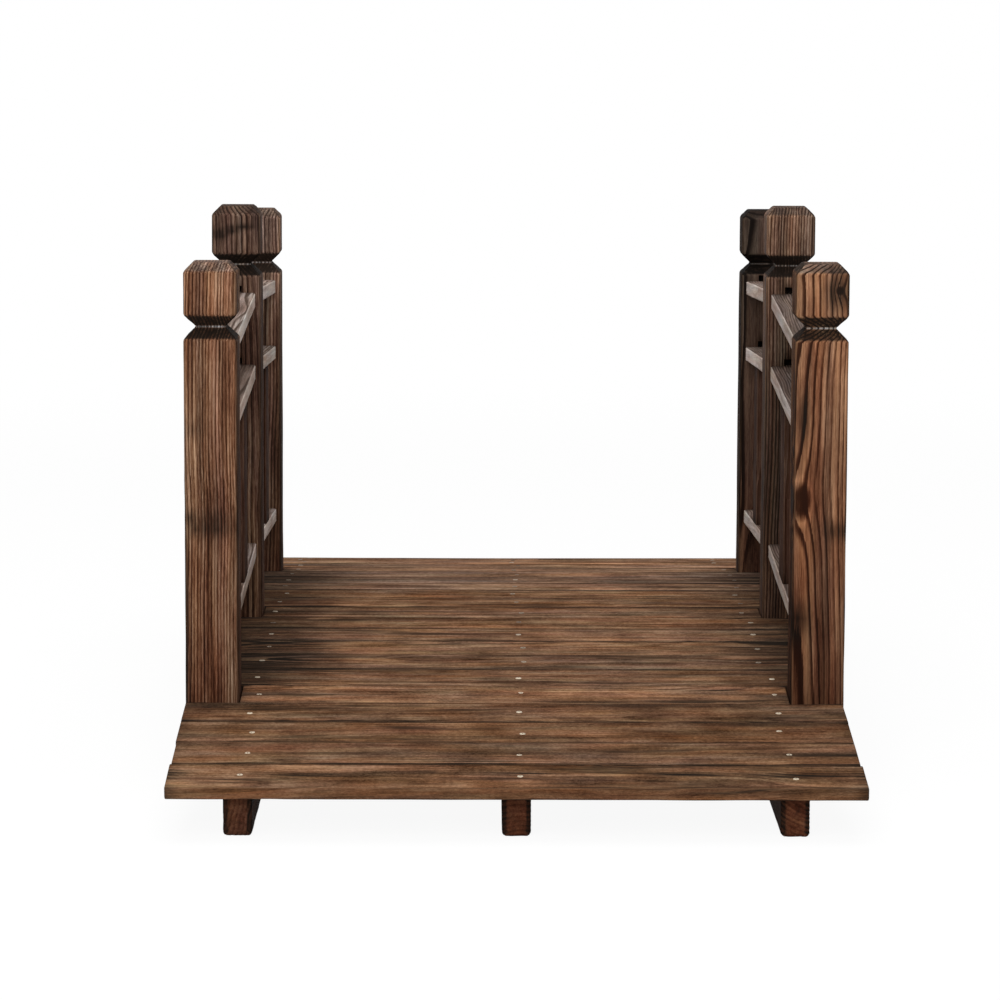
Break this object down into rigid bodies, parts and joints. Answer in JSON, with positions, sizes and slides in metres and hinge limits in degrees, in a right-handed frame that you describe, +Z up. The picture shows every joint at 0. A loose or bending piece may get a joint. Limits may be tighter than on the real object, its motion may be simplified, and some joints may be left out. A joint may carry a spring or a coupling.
{
  "type": "garden footbridge",
  "caption": "Low arched garden footbridge: crosswise deck boards on arched stringers, with grooved posts, sloping rails and balusters along both sides.",
  "frame": {"origin": "on the ground, under the middle of the bridge", "axes": "+Y along the walk, +X across it to the right of someone walking along +Y, +Z up"},
  "size_m": [0.67, 1.4996, 0.56],
  "materials": {
    "deck_wood": "scorched and brushed softwood, dark grain lines",
    "stringer_wood": "scorched softwood, dark red-brown",
    "post_wood": "scorched and brushed softwood, near black in the grooves and chamfers",
    "rail_wood": "pale grey weathered softwood",
    "baluster_wood": "scorched softwood, dark brown"
  },
  "bodies": {
    "root": {"deck_board_01": "deck_wood", "deck_board_02": "deck_wood", "deck_board_03": "deck_wood", "deck_board_04": "deck_wood", "deck_board_05": "deck_wood", "deck_board_06": "deck_wood", "deck_board_07": "deck_wood", "deck_board_08": "deck_wood", "deck_board_09": "deck_wood", "deck_board_10": "deck_wood", "deck_board_11": "deck_wood", "deck_board_12": "deck_wood", "deck_board_13": "deck_wood", "deck_board_14": "deck_wood", "deck_board_15": "deck_wood", "deck_board_16": "deck_wood", "deck_board_17": "deck_wood", "deck_board_18": "deck_wood", "deck_board_19": "deck_wood", "deck_board_20": "deck_wood", "deck_board_21": "deck_wood", "stringer_left": "stringer_wood", "stringer_centre": "stringer_wood", "stringer_right": "stringer_wood", "post_left_front": "post_wood", "post_left_middle": "post_wood", "post_left_rear": "post_wood", "post_right_front": "post_wood", "post_right_middle": "post_wood", "post_right_rear": "post_wood", "rail_top_left_front": "rail_wood", "rail_second_left_front": "rail_wood", "rail_low_left_front": "rail_wood", "rail_top_left_rear": "rail_wood", "rail_second_left_rear": "rail_wood", "rail_low_left_rear": "rail_wood", "rail_top_right_front": "rail_wood", "rail_second_right_front": "rail_wood", "rail_low_right_front": "rail_wood", "rail_top_right_rear": "rail_wood", "rail_second_right_rear": "rail_wood", "rail_low_right_rear": "rail_wood", "balusters_left": "baluster_wood", "balusters_right": "baluster_wood"}
  },
  "joints": []
}
